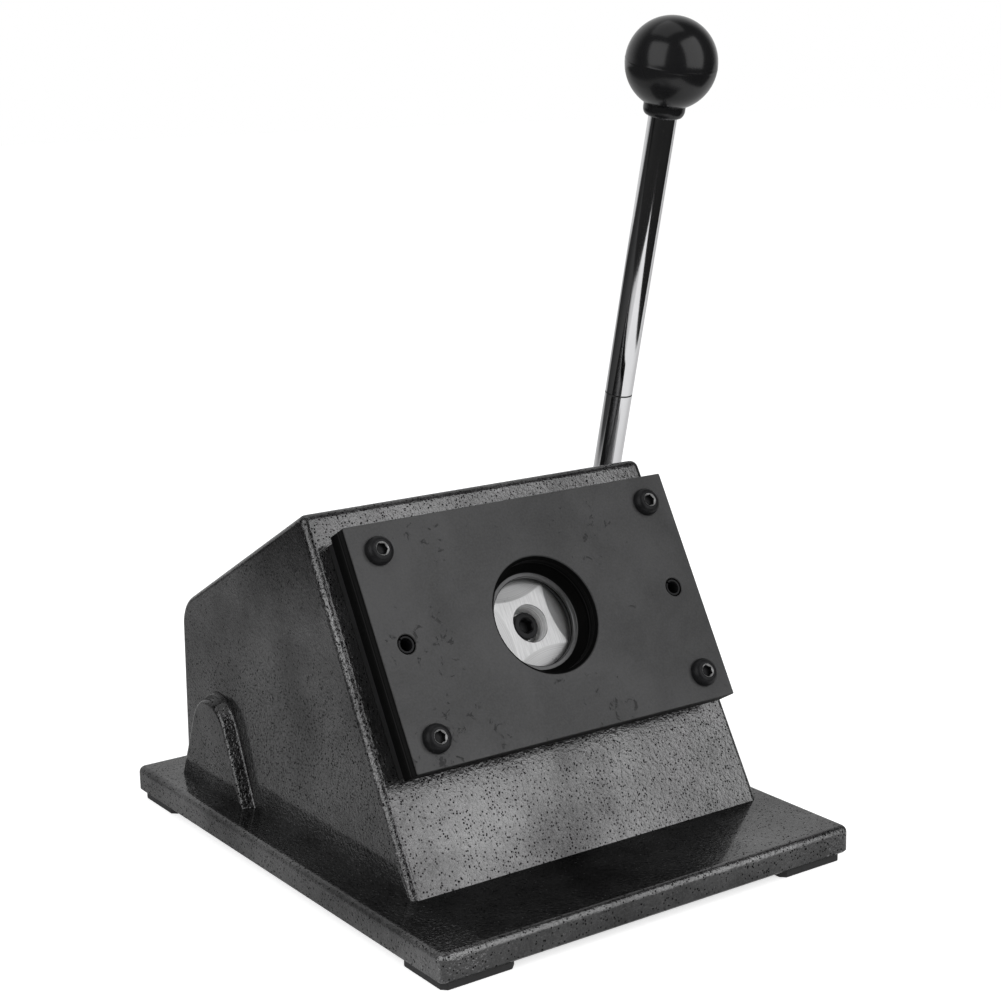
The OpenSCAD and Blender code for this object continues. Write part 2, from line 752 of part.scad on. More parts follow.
module hub_key() {
    color([0.4, 0.4, 0.41]) on_shaft() keyed(hub_key_turn) key_block(hub_key_from, hub_key_to);
}

module hub_end_washer() {
    color([0.6, 0.6, 0.61]) on_shaft() difference() {
        bar_x(shaft_right, shaft_right + end_washer_t, shaft_d + 7);
        bar_x(shaft_right - cut, shaft_right + end_washer_t + cut, m6_button[0] + hole_gap);
    }
}

module hub_end_screw() {
    color([0.12, 0.12, 0.12]) on_shaft() translate([shaft_right + end_washer_t, 0, 0]) rotate([0, 90, 0])
        button_screw([m6_button[0], m6_button[1], m6_button[2] - 0.3, m6_button[3]],
            end_washer_t + hub_screw_bite);
}

// Both rods share one axis. The lower rod's stud screws into the hub, and the upper
// rod's stud into the lower rod.
joint_stud_d = 7;
joint_stud_len = 14;

module lower_lever_rod() {
    color([0.8, 0.8, 0.81]) on_lever() difference() {
        union() {
            translate([0, 0, rod_stud_end]) cylinder(d = rod_stud_d, h = rod_seat - rod_stud_end + 1);
            translate([0, 0, rod_seat]) cylinder(d = rod_d, h = rod_joint - rod_seat - rod_chamfer);
            translate([0, 0, rod_joint - rod_chamfer])
                cylinder(d1 = rod_d, d2 = rod_d - 2 * rod_chamfer, h = rod_chamfer);
        }
        translate([0, 0, rod_joint - joint_stud_len - 1])
            cylinder(d = joint_stud_d, h = joint_stud_len + 1 + cut);
    }
}

module upper_lever_rod() {
    color([0.8, 0.8, 0.81]) on_lever() {
        translate([0, 0, rod_joint - joint_stud_len]) cylinder(d = joint_stud_d, h = joint_stud_len + 1);
        translate([0, 0, rod_joint]) cylinder(d1 = rod_d - 2 * rod_chamfer, d2 = rod_d, h = rod_chamfer);
        translate([0, 0, rod_joint + rod_chamfer])
            cylinder(d = rod_d, h = knob_neck - rod_joint - rod_chamfer);
        translate([0, 0, knob_neck - 1]) cylinder(d = rod_stud_d, h = insert_len - 1);
    }
}

module knob_insert() {
    color([0.72, 0.53, 0.26]) on_lever() translate([0, 0, knob_neck]) difference() {
        cylinder(d = insert_d, h = insert_len);
        translate([0, 0, -cut]) cylinder(d = rod_stud_d, h = insert_len - 2 + cut);
    }
}

// Ball with a short collar that rounds in to the rod like a cup
module ball_knob() {
    neck_r = insert_d / 2 + 0.2;
    cup = [for (a = [0:15:90])
        [neck_r + (knob_collar_d / 2 - neck_r) * sin(a), knob_cup_h * (1 - cos(a))]];
    color([0.03, 0.03, 0.03]) on_lever() difference() {
        union() {
            translate([0, 0, lever_len]) sphere(d = knob_d);
            translate([0, 0, knob_neck]) rotate_extrude() polygon(concat(
                [[0, 0]], cup, [[knob_collar_d / 2, knob_collar_h + 3], [0, knob_collar_h + 3]]));
        }
        translate([0, 0, knob_neck - cut]) cylinder(d = insert_d, h = insert_len + cut);
    }
}

// ---- stops ----

// Beside the lever at a lean, on its rear side for a positive offset
module stop_at(lean, along, offset) {
    on_shaft() rotate([lean, 0, 0]) translate([0, offset, along]) children();
}

module stop_pin() {
    root = wall_inside - 3;
    shoulder = half_w(0) + 0.5 - root;
    len = stop_reach - root;
    translate([root, 0, 0]) rotate([0, 90, 0]) rotate_extrude() polygon([
        [0, 0], [stop_stud_d / 2, 0], [stop_stud_d / 2, shoulder], [stop_pin_d / 2, shoulder],
        [stop_pin_d / 2, len - 1], [stop_pin_d / 2 - 1, len], [0, len]]);
}

module upper_stop_pin() {
    color([0.6, 0.6, 0.61]) stop_at(lever_lean, upper_stop_at, stop_offset) stop_pin();
}

module lower_stop_pin() {
    color([0.6, 0.6, 0.61]) stop_at(lever_lean + lever_swing, lower_stop_at, -stop_offset) stop_pin();
}

base_plate();
foot_at(-1, -1);  // front_left_foot
foot_at(1, -1);  // front_right_foot
foot_at(-1, 1);  // rear_left_foot
foot_at(1, 1);  // rear_right_foot
foot_screws();
housing();
housing_screws();
ram_guide_bush();
guide_bush_screws();
guide_plate();
slot_spacer(-1);  // left_slot_spacer
slot_spacer(1);  // right_slot_spacer
die_ring();
die_plate();
plate_screws();
spring_pins();
punch();
punch_screw();
ram();
shaft_bush(blind_end, -bush_inside);  // left_shaft_bush
shaft_bush(bush_inside, boss_face);  // right_shaft_bush
cross_shaft();
shaft_collar();
collar_screw();
cam();
cam_key();
thrust_washer();
lever_hub();
hub_key();
hub_end_washer();
hub_end_screw();
lower_lever_rod();
upper_lever_rod();
knob_insert();
ball_knob();
upper_stop_pin();
lower_stop_pin();
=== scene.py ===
from math import acos, atan2, cos, hypot, pi, radians, sin, sqrt, tan

import bmesh
import bpy
from mathutils import Matrix, Vector


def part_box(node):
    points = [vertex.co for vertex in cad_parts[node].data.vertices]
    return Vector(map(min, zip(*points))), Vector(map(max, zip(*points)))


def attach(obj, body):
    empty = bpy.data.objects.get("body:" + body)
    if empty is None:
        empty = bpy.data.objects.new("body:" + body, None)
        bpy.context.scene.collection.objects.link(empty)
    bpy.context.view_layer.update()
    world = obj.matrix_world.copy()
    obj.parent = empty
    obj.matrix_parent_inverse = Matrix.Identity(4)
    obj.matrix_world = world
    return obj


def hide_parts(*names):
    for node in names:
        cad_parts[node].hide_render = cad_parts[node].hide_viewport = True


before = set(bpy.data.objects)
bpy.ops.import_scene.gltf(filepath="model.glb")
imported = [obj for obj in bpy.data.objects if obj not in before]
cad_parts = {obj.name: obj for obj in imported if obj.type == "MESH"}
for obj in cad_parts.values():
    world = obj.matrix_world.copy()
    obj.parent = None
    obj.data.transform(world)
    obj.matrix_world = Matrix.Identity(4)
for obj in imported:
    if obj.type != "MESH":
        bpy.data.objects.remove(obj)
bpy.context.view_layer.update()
scene = bpy.context.scene
scene.view_settings.view_transform = "Standard"


# ---- Camera ----
# A long lens in front of the machine and to its left, level with the lever's upper half.
# Its place is measured from the middle of the housing, in millimetres.

def middle(node):
    """Centre of a frame node's box, in millimetres."""
    low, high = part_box(node)
    return (low + high) * 500


housing_x = middle("housing").x
image_width, lens_in_pixels = 1001, 2015.46
turn, tip, cant = radians(34.945), radians(12.65), radians(-1.136)
lens_place = Vector((housing_x - 409.21, -601.01, 290.56))

camera = bpy.data.objects.new("camera", bpy.data.cameras.new("camera"))
scene.collection.objects.link(camera)
camera.data.sensor_width = 36.0
camera.data.lens = lens_in_pixels * camera.data.sensor_width / image_width
camera.data.clip_end = 20.0
ahead = Vector((sin(turn) * cos(tip), cos(turn) * cos(tip), -sin(tip)))
level = Vector((cos(turn), -sin(turn), 0.0))
upright = level.cross(ahead)
camera_axes = Matrix((
    cos(cant) * level + sin(cant) * upright,
    cos(cant) * upright - sin(cant) * level,
    -ahead))
camera.matrix_world = Matrix.Translation(lens_place / 1000) @ camera_axes.transposed().to_4x4()
scene.camera = camera


# ---- Lamps ----
# A tall soft box on each side of the camera, both turned to the upper half of the lever,
# and a wide one overhead.

def soft_box(name, place, aim, width, height, radiance):
    lamp = bpy.data.lights.new(name, "AREA")
    lamp.shape = "RECTANGLE"
    lamp.size, lamp.size_y = width, height
    lamp.energy = radiance * pi * width * height
    box = bpy.data.objects.new(name, lamp)
    scene.collection.objects.link(box)
    box.location = place
    box.rotation_euler = (Vector(aim) - Vector(place)).to_track_quat("-Z", "Y").to_euler()


upper_lever = (0.08, 0.0, 0.25)
soft_box("soft_box_right", (0.50, -1.08, 0.64), upper_lever, 1.1, 1.7, 2.0)
soft_box("soft_box_left", (-1.02, -0.26, 0.72), upper_lever, 1.0, 1.3, 2.0)
soft_box("soft_box_overhead", (0.0, 0.15, 1.5), (0.0, 0.0, 0.1), 1.0, 1.0, 0.8)


# ---- Table top and room ----
# A plain white table and backdrop in a dim room, which the camera sees white. In polished
# faces the table shows painted reflections: a white sheet under the machine with a painted
# sheen, painted shade in front of it and at its left, and a painted shadow along the base's
# front. The backdrop is white behind the machine only.

def feed(sockets, values):
    """Sets each of these sockets to its value, or links its wire to it."""
    for key, value in values.items():
        if isinstance(value, Wire):
            value.socket.id_data.links.new(value.socket, sockets[key])
        else:
            sockets[key].default_value = value


class Wire:
    """A shader node's output. Arithmetic on it adds the Math node for it."""

    def __init__(self, socket):
        self.socket = socket

    def node(self, kind, settings, inputs, output=0):
        """Adds a node: its settings come first, then its sockets' values or wires."""
        made = self.socket.id_data.nodes.new(kind)
        for key, value in settings.items():
            setattr(made, key, value)
        feed(made.inputs, inputs)
        return Wire(made.outputs[output])

    def maths(self, operation, first, second=0.0):
        return self.node("ShaderNodeMath", {"operation": operation}, {0: first, 1: second})

    def __add__(self, other):
        return self.maths("ADD", self, other)

    def __radd__(self, other):
        return self.maths("ADD", other, self)

    def __sub__(self, other):
        return self.maths("SUBTRACT", self, other)

    def __rsub__(self, other):
        return self.maths("SUBTRACT", other, self)

    def __mul__(self, other):
        return self.maths("MULTIPLY", self, other)

    def __rmul__(self, other):
        return self.maths("MULTIPLY", other, self)

    def __abs__(self):
        return self.maths("ABSOLUTE", self)

    def lower(self, other):
        return self.maths("MINIMUM", self, other)

    def higher(self, other):
        return self.maths("MAXIMUM", self, other)

    def ray(self, kind):
        """1 for light paths of this kind and 0 for the others."""
        return self.node("ShaderNodeLightPath", {}, {}, "Is " + kind + " Ray")

    def part(self, axis):
        """This place's x, y or z, by its number."""
        return self.node("ShaderNodeSeparateXYZ", {}, {0: self}, axis)

    def stretched(self, x, y, z):
        """The same place with each axis scaled."""
        return self.node("ShaderNodeVectorMath", {"operation": "MULTIPLY"}, {0: self, 1: (x, y, z)})

    def along(self, direction):
        """How far this place lies along a direction."""
        return self.node("ShaderNodeVectorMath", {"operation": "DOT_PRODUCT"}, {
            0: self, 1: direction}, 1)

    def away(self, spot):
        """Distance between this place and a spot."""
        return self.node("ShaderNodeVectorMath", {"operation": "DISTANCE"}, {0: self, 1: spot}, 1)

    def noise(self, scale, detail=2.0, rough=0.5, twist=0.0):
        """Cloudy value from 0 to 1, with this many lumps to the metre."""
        return self.node("ShaderNodeTexNoise", {}, {
            "Vector": self, "Scale": scale, "Detail": detail, "Roughness": rough,
            "Distortion": twist})

    def stripes(self, scale, detail=2.0):
        """Value from 0 to 1 that changes with this one only, in uneven stripes."""
        return self.node("ShaderNodeTexNoise", {"noise_dimensions": "1D"}, {
            "W": self, "Scale": scale, "Detail": detail})

    def ease(self, low, high):
        """0 below low, 1 above high and a soft step between."""
        return self.node("ShaderNodeMapRange", {"interpolation_type": "SMOOTHSTEP"}, {
            "Value": self, "From Min": low, "From Max": high})

    def fade(self, first, second):
        """Value between the first at 0 and the second at 1."""
        return self.node("ShaderNodeMix", {"data_type": "FLOAT"}, {0: self, 2: first, 3: second})

    def tint(self, first, second):
        """Colour between the first at 0 and the second at 1."""
        first, second = (c if isinstance(c, Wire) else (*c, 1.0) for c in (first, second))
        return self.node("ShaderNodeMix", {"data_type": "RGBA"}, {0: self, 6: first, 7: second}, 2)

    def bump(self, depth):
        """Normal of a surface raised by this value times a depth in metres."""
        return self.node("ShaderNodeBump", {}, {"Height": self, "Distance": depth, "Strength": 1.0})


def finish(name, look):
    """Material whose main shader is set by look, which is given the place on the object."""
    made = bpy.data.materials.new(name)
    made.use_nodes = True
    shader = made.node_tree.nodes["Principled BSDF"]
    place = Wire(shader.outputs[0]).node("ShaderNodeTexCoord", {}, {}, "Object")
    feed(shader.inputs, look(place))
    return made


def white_table(place):
    camera_ray, mirrored, clear = (place.ray(kind) for kind in ("Camera", "Glossy", "Transmission"))
    across, depth = place.part(0), place.part(1)
    sheet_edge = (0.6 * across - 0.38).lower(-0.12)
    sheet = (depth - sheet_edge).lower(depth + 0.71 * across + 0.40).ease(0.0, 0.015)
    # Painted shadow, seen only in polished faces: a band of the table along the base's front.
    base_front_painted_shadow = 0.6 * depth.ease(-0.175, -0.165) * (1.0 - depth.ease(-0.115, -0.105))
    base_front_painted_shadow = base_front_painted_shadow * (1.0 - across.ease(0.08, 0.10))
    # Painted shade at the machine's left, seen only in polished faces.
    left = (0.95 - 0.65 * across.ease(-0.38, -0.24)) * (1.0 - across.ease(-0.15, -0.08))
    left = left * (1.0 - depth.ease(3.5, 6.0))
    painted_reflection_shade = mirrored * (1.0 - sheet).higher(base_front_painted_shadow).higher(left)
    # Painted sheen: polished faces see the table glow, more in front of the machine.
    painted_sheen = 0.15 + 0.25 * (1.0 - depth.ease(-0.2, 0.0))
    glow = 0.68 * (camera_ray + clear) + painted_sheen * (mirrored - painted_reflection_shade)
    return {
        "Base Color": painted_reflection_shade.tint((0.75, 0.75, 0.75), (0.02, 0.02, 0.02)),
        "Roughness": 0.9,
        "Specular IOR Level": 0.0,
        "Emission Color": glow.tint((0.0, 0.0, 0.0), (1.0, 1.0, 1.0)),
        "Emission Strength": 1.0}


table_end = 6
table_mesh = bpy.data.meshes.new("table_top")
table_mesh.from_pydata(
    [(-table_end, -table_end, 0), (table_end, -table_end, 0),
     (table_end, table_end, 0), (-table_end, table_end, 0)], [], [(0, 1, 2, 3)])
table_mesh.materials.append(finish("white_table", white_table))
table_top = bpy.data.objects.new("table_top", table_mesh)
scene.collection.objects.link(table_top)

scene.world = bpy.data.worlds.new("white_room")
scene.world.use_nodes = True
room = scene.world.node_tree.nodes["Background"]
heading = Wire(room.outputs[0]).node("ShaderNodeTexCoord", {}, {}, "Generated")
backdrop_turn = turn - radians(11)
backdrop = heading.along((sin(backdrop_turn), cos(backdrop_turn), 0.0)).ease(0.25, 0.8)
light = heading.ray("Diffuse").fade(0.03 + 0.8 * backdrop, 0.45)
light = heading.ray("Camera").fade(light, 1.0)
feed(room.inputs, {"Color": (1.0, 1.0, 1.0, 1.0), "Strength": light})


# ---- Rubber feet ----
# Four moulded rubber pads with their corners cut off, near the corners of the base. Each
# is held up by a sunk screw. Sizes here and below are in millimetres.

def grown(outline, by):
    """An outline listed anticlockwise, moved outwards by a distance."""
    out = []
    for i, point in enumerate(outline):
        a = Vector(point) - Vector(outline[i - 1])
        b = Vector(outline[(i + 1) % len(outline)]) - Vector(point)
        m = Vector((a.y, -a.x)).normalized()
        n = Vector((b.y, -b.x)).normalized()
        out.append(Vector(point) + (m + n) * by / (1 + m.dot(n)))
    return out


def closed(rings):
    """Solid whose skin joins each ring of points to the next, with a lid at both ends."""
    shape = bmesh.new()
    rings = [[shape.verts.new(p) for p in ring] for ring in rings]
    for low, high in zip(rings, rings[1:]):
        for i in range(len(low)):
            shape.faces.new((low[i - 1], low[i], high[i], high[i - 1]))
    shape.faces.new(rings[0][::-1])
    shape.faces.new(rings[-1])
    return shape


def layered(outline, steps):
    """Solid made of the outline at each (growth, height)."""
    return closed([[(*p, height) for p in grown(outline, by)] for by, height in steps])


def turned(profile, steps=96):
    """Solid turned about +Z from an open profile of (radius, height), closed on the axis."""
    shape = bmesh.new()
    rings = []
    for r, z in profile:
        if r > 1e-6:
            turns = [2 * pi * i / steps for i in range(steps)]
            rings.append([shape.verts.new((r * cos(a), r * sin(a), z)) for a in turns])
        else:
            rings.append([shape.verts.new((0, 0, z))] * steps)
    for low, high in zip(rings, rings[1:]):
        for i in range(steps):
            corners = list(dict.fromkeys((low[i - 1], low[i], high[i], high[i - 1])))
            if len(corners) > 2:
                shape.faces.new(corners)
    return shape


def tidied(shape):
    """The shape with doubled points joined and every face turned outwards."""
    bmesh.ops.remove_doubles(shape, verts=shape.verts, dist=1e-4)
    bmesh.ops.dissolve_degenerate(shape, edges=shape.edges, dist=1e-4)
    bmesh.ops.recalc_face_normals(shape, faces=shape.faces)
    return shape


def carved(shape, *tools, how="DIFFERENCE"):
    """The shape with every tool's shape cut out of it, or joined to it."""
    made = []
    for each in (shape, *tools):
        work = bpy.data.objects.new("work", bpy.data.meshes.new("work"))
        tidied(each).to_mesh(work.data)
        each.free()
        scene.collection.objects.link(work)
        made.append(work)
    for tool in made[1:]:
        step = made[0].modifiers.new("carve", "BOOLEAN")
        step.object, step.operation, step.solver = tool, how, "EXACT"
    seen = made[0].evaluated_get(bpy.context.evaluated_depsgraph_get())
    result = bpy.data.meshes.new_from_object(seen)
    out = bmesh.new()
    out.from_mesh(result)
    for mesh in [result] + [work.data for work in made]:
        bpy.data.meshes.remove(mesh)
    return out


def at(x=0.0, y=0.0, z=0.0):
    return Matrix.Translation((x, y, z))


def piece(name, shape, place, body, slot, material, *nodes, sharp=32):
    """Object in metres from a shape in millimetres, put in its place on its body."""
    tidied(shape).transform(Matrix.Scale(0.001, 4) @ place)
    mesh = bpy.data.meshes.new(name)
    shape.to_mesh(mesh)
    shape.free()
    for face in mesh.polygons:
        face.use_smooth = True
    mesh.set_sharp_from_angle(angle=radians(sharp))
    mesh.materials.append(material)
    made = bpy.data.objects.new(name, mesh)
    scene.collection.objects.link(made)
    evened = made.modifiers.new("even_shading", "WEIGHTED_NORMAL")
    evened.keep_sharp = True
    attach(made, body)
    if nodes:
        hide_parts(*nodes)
    return made


def rubber(place):
    skin = place.noise(900, 3)
    patch = place.noise(90, 2)
    return {
        "Base Color": patch.tint((0.010, 0.010, 0.010), (0.022, 0.022, 0.023)),
        "Roughness": 0.6 + 0.15 * patch,
        "Normal": skin.bump(0.00012)}


foot_rubber = finish("foot_rubber", rubber)
foot_w, foot_d, foot_h, foot_cut = 29.0, 25.0, 3.5, 2.0
foot_floor, foot_bore_r, foot_hole_r = 1.0, 4.25, 2.2
foot_x, foot_y, foot_seat = foot_w / 2, foot_d / 2, foot_h - foot_floor
foot_outline = [
    (foot_cut - foot_x, -foot_y), (foot_x - foot_cut, -foot_y),
    (foot_x, foot_cut - foot_y), (foot_x, foot_y - foot_cut),
    (foot_x - foot_cut, foot_y), (foot_cut - foot_x, foot_y),
    (-foot_x, foot_y - foot_cut), (-foot_x, foot_cut - foot_y)]
foot_places = {}
for corner in ("front_left", "front_right", "rear_left", "rear_right"):
    spot = middle(corner + "_foot")
    foot_places[corner] = at(spot.x, spot.y)
    pad = layered(foot_outline, [(-0.7, 0), (-0.25, 0.15), (0, 0.6), (0, foot_h)])
    recess = turned([
        (0, -1), (foot_bore_r + 0.15, -1), (foot_bore_r, 0.2), (foot_bore_r, foot_seat),
        (foot_hole_r, foot_seat), (foot_hole_r, foot_h + 1), (0, foot_h + 1)], 48)
    piece(corner + "_pad", carved(pad, recess), foot_places[corner], "frame", "foot_rubber",
          foot_rubber, corner + "_foot")


# ---- Foot screws ----
# Small blackened pan heads inside the pads, screwed up into the base from below.

def about(axis, degrees):
    return Matrix.Rotation(radians(degrees), 4, axis)


def moved(shape, place):
    shape.transform(place)
    return shape


def together(shapes):
    """One shape holding all of these, each still a solid of its own."""
    whole = bmesh.new()
    for shape in shapes:
        part = bpy.data.meshes.new("part")
        shape.to_mesh(part)
        shape.free()
        whole.from_mesh(part)
        bpy.data.meshes.remove(part)
    return whole


def shank(r, length):
    """Profile of a screw's shank from its chamfered end up to z = 0."""
    return [(0, -length), (r - 0.5, -length), (r, 0.5 - length), (r, 0)]


def socket(key, low, high):
    """Six-sided recess, as wide as its key, and the cone that is turned in its mouth."""
    r = key / 2 / cos(radians(30))
    hexagon = [(r * cos(radians(60 * i)), r * sin(radians(60 * i))) for i in range(6)]
    mouth, start = r + 0.25, key / 2 - 0.2
    root = high + start - mouth
    cone = turned([(0, root), (start, root), (mouth + 1, high + 1), (0, high + 1)], 48)
    return layered(hexagon, [(0, low), (0, high + 1)]), cone


def pan_screw(head_r, head_h, thread_r, length, key):
    """Screw pointing down from z = 0, with its flat head above and rounded at the rim."""
    head = turned([
        *shank(thread_r, length), (head_r, 0), (head_r, head_h - 0.5),
        (head_r - 0.15, head_h - 0.15), (head_r - 0.5, head_h), (0, head_h)], 48)
    return carved(head, *socket(key, head_h * 0.4, head_h))


def black_oxide(place):
    fleck = place.noise(1500, 3)
    patch = place.noise(260, 2)
    return {
        "Base Color": patch.tint((0.006, 0.006, 0.0065), (0.020, 0.020, 0.021)),
        "Metallic": 0.3,
        "Roughness": 0.26 + 0.2 * fleck,
        "Specular IOR Level": 0.12,
        "Normal": fleck.bump(0.00002)}


black_screw = finish("black_oxide", black_oxide)
foot_thread_r, foot_bite = 2.0, 7.0
foot_screws = together([
    moved(pan_screw(3.75, 2.2, foot_thread_r, foot_floor + foot_bite, 2.5),
          place @ at(z=foot_seat) @ about("X", 180))
    for place in foot_places.values()])
piece("foot_screw_set", foot_screws, Matrix(), "frame", "black_screws", black_screw, "foot_screws")


# ---- Base plate ----
# A flat plate with rounded upper edges, all in black hammered enamel: a glossy skin that
# dries uneven, with metal flake in it and small dark craters. It is rougher on the sides,
# from about 75 mm off the middle.

def hammered(place):
    drift = place.noise(420, 1)
    cells = {"Vector": place, "Scale": 800.0, "Randomness": 1.0}
    reach = place.node("ShaderNodeTexVoronoi", {}, cells)
    cell_colour = place.node("ShaderNodeTexVoronoi", {}, cells, 1)
    chosen = place.node("ShaderNodeSeparateColor", {}, {0: cell_colour}) + 0.5 * place.noise(60, 2)
    crater = (1.0 - (reach + 0.15 * drift).ease(0.29, 0.35)) * chosen.ease(0.53, 0.59)
    peel = place.noise(820, 1, 0.6, 0.3)
    cloud = place.noise(26, 3, 0.6)
    grain = place.noise(2600, 1)
    rough_sides = 0.7 + 0.9 * abs(place.part(0) - housing_x / 1000).ease(0.0735, 0.0750)
    flake = (0.8 * cloud + 0.25 * peel + 0.35 * grain - 0.28).ease(0.0, 0.95) * (1.0 - crater)
    return {
        "Base Color": flake.tint((0.003, 0.003, 0.0032), (0.225, 0.225, 0.227)),
        "Metallic": 0.90,
        "Roughness": 0.20 + 0.10 * peel,
        "Specular IOR Level": 0.35,
        "Specular Tint": (0.3, 0.3, 0.3, 1.0),
        "Coat Weight": 0.60 - 0.60 * crater,
        "Coat Roughness": 0.09,
        "Normal": (rough_sides * peel + 0.15 * grain - 0.8 * crater).bump(0.00034)}


def rounded_rectangle(w, d, r, steps=8):
    """Outline of a rectangle with rounded corners, from half its width and depth."""
    corners = ((w - r, r - d, -90), (w - r, d - r, 0), (r - w, d - r, 90), (r - w, r - d, 180))
    return [(x + r * cos(a), y + r * sin(a)) for x, y, start in corners
            for a in (radians(start + 90 * i / steps) for i in range(steps + 1))]


def rounding(r, height, steps=8):
    """Growth and height of each layer over a rounded upper edge."""
    angles = [radians(90 * i / steps) for i in range(steps + 1)]
    return [(-r + r * cos(a), height - r + r * sin(a)) for a in angles]


def bored(r, low, high, place, steps=96):
    """Round bar about a place's z axis, to cut out or to join on."""
    return moved(turned([(0, low), (r, low), (r, high), (0, high)], steps), place)


enamel = finish("hammered_enamel", hammered)
base_w, base_d, base_t, base_corner_r, base_edge_r = 178.0, 220.0, 10.0, 3.0, 2.5
base_top = foot_h + base_t
face_y, housing_w, housing_d, side_wall, roof_wall = -70.0, 154.4, 166.0, 7.5, 7.0
wall_inside = housing_w / 2 - side_wall
casting_screws = [(housing_x + side * (wall_inside - 9), face_y + y)
                  for side in (-1, 1) for y in (42, housing_d - roof_wall - 10)]
counterbore_r, counterbore, clearance_r = 7.0, 8.3, 4.2

plate = moved(layered(
    rounded_rectangle(base_w / 2, base_d / 2, base_corner_r),
    [(-0.8, 0), (0, 0.8)] + rounding(base_edge_r, base_t)), at(middle("base_plate").x, 0, foot_h))
holes = [moved(turned([
    (0, -1), (counterbore_r, -1), (counterbore_r, counterbore), (clearance_r, counterbore),
    (clearance_r, 20), (0, 20)], 48), at(x, y, foot_h)) for x, y in casting_screws]
holes += [bored(foot_thread_r, -1, base_t - 2, place @ at(z=foot_h), 24)
          for place in foot_places.values()]
piece("base_casting", carved(plate, *holes), Matrix(), "frame", "hammertone", enamel, "base_plate")


# ---- Housing ----
# A hollow casting with a slanted front, a sloping roof and an arched boss on each side
# for the cross shaft. It is enamelled like the base, and screws hold it from below.

ridge_h, ridge_back, rear_h = 120.6, 68.4, 67.4
side_lean, housing_edge_r, rear_edge_r, front_wall = 2.0, 3.0, 14.0, 10.0
slope = atan2(ridge_h, ridge_back)
outwards = Vector((0, -sin(slope), cos(slope)))
slot_front, die_plate_t = 5.6, 10.0
face_spot = middle("die_plate") - outwards * (slot_front + die_plate_t / 2)
on_face = at(housing_x, face_spot.y, face_spot.z) @ Matrix.Rotation(slope, 4, "X")
shaft_y, shaft_z = middle("cross_shaft").y, middle("cross_shaft").z
on_shaft = at(housing_x, shaft_y, shaft_z)
along_shaft = on_shaft @ about("Y", 90)
on_ground = at(housing_x, face_y, base_top)
side_on = Matrix(((0, 0, 1, 0), (1, 0, 0, 0), (0, 1, 0, 0), (0, 0, 0, 1)))


def half_w(z):
    """Half the housing's width at a height over the base."""
    return housing_w / 2 - side_lean * z / ridge_h


def filleted(corners, radii, steps):
    """Polygon listed anticlockwise, with each corner rounded."""
    out = []
    for i, (corner, r) in enumerate(zip(corners, radii)):
        corner = Vector(corner)
        a = (Vector(corners[i - 1]) - corner).normalized()
        b = (Vector(corners[(i + 1) % len(corners)]) - corner).normalized()
        half = acos(a.dot(b)) / 2
        centre = corner + (a + b).normalized() * r / sin(half)
        start = corner + a * r / tan(half) - centre
        sweep = pi - 2 * half
        out += [centre + Matrix.Rotation(sweep * k / steps, 2) @ start for k in range(steps + 1)]
    return out


def box(low, high):
    size = Vector(high) - Vector(low)
    shape = bmesh.new()
    bmesh.ops.create_cube(shape, size=1.0)
    return moved(shape, at(*(Vector(low) + size / 2)) @ Matrix.Diagonal((*size, 1.0)))


sink, bend_r = 12.0, housing_edge_r + 0.4
side_outline = filleted(
    [(-sink * ridge_back / ridge_h, -sink), (housing_d, -sink), (housing_d, rear_h),
     (ridge_back, ridge_h)],
    [bend_r, bend_r, rear_edge_r, bend_r], 10)
edge_steps = [(housing_edge_r * (sin(a) - 1), housing_w / 2 + housing_edge_r * (cos(a) - 1))
              for a in (radians(10 * k) for k in range(10))]
shell = layered(side_outline, [(by, -x) for by, x in edge_steps] + edge_steps[::-1])
shell.transform(side_on)
for vert in shell.verts:
    vert.co.x *= half_w(vert.co.z) / half_w(0)
shell.transform(on_ground)

boss_r, boss_flank, boss_rise = 15.0, 26.0, 3.6


def arch(by):
    """Outline of a bearing boss grown by a distance, as y and z from the shaft's axis."""
    r, flank, foot = boss_r + by, boss_flank + by, base_top - shaft_z
    t = atan2(foot - boss_rise, flank) + acos(r / hypot(flank, foot - boss_rise))
    turns = [t + (pi - 2 * t) * k / 40 for k in range(41)]
    top = [(r * cos(a), boss_rise + r * sin(a)) for a in turns]
    return [(-flank, foot - sink), (flank, foot - sink), (flank, foot), *top, (-flank, foot)]


def boss(side):
    """Arched boss with a hollow fillet round its root, a slight draft and a rounded rim."""
    root, rim, out, draft = 1.5, 1.8, 5.0, 0.8
    quarter = [radians(a) for a in range(0, 91, 15)]
    steps = [(root, -3.0)] + [(root - root * sin(a), root - root * cos(a)) for a in quarter]
    steps += [(rim * cos(a) - rim - draft, out - rim + rim * sin(a)) for a in quarter]
    wall = half_w(shaft_z - base_top)
    rings = [[(side * (wall + x), y, z) for y, z in arch(by)] for by, x in steps]
    return moved(closed(rings), on_shaft)


inner_front, inner_back = front_wall / sin(slope), housing_d - roof_wall
roof_slope = atan2(ridge_h - rear_h, housing_d - ridge_back)
roof_drop = roof_wall / cos(roof_slope)
inner_rear_h = ridge_h - roof_drop - (inner_back - ridge_back) * tan(roof_slope)
inner_ridge = ridge_h - roof_drop + inner_front * tan(slope) + ridge_back * tan(roof_slope)
inner_ridge /= tan(slope) + tan(roof_slope)
inner_side = [
    (inner_front - 1 / tan(slope), -1), (inner_back, -1), (inner_back, inner_rear_h),
    (inner_ridge, (inner_ridge - inner_front) * tan(slope))]
cavity = closed([[(x, y, z) for y, z in inner_side] for x in (-wall_inside, wall_inside)])
shell = carved(shell, boss(-1), boss(1), how="UNION")
shell = carved(shell, moved(cavity, on_ground))

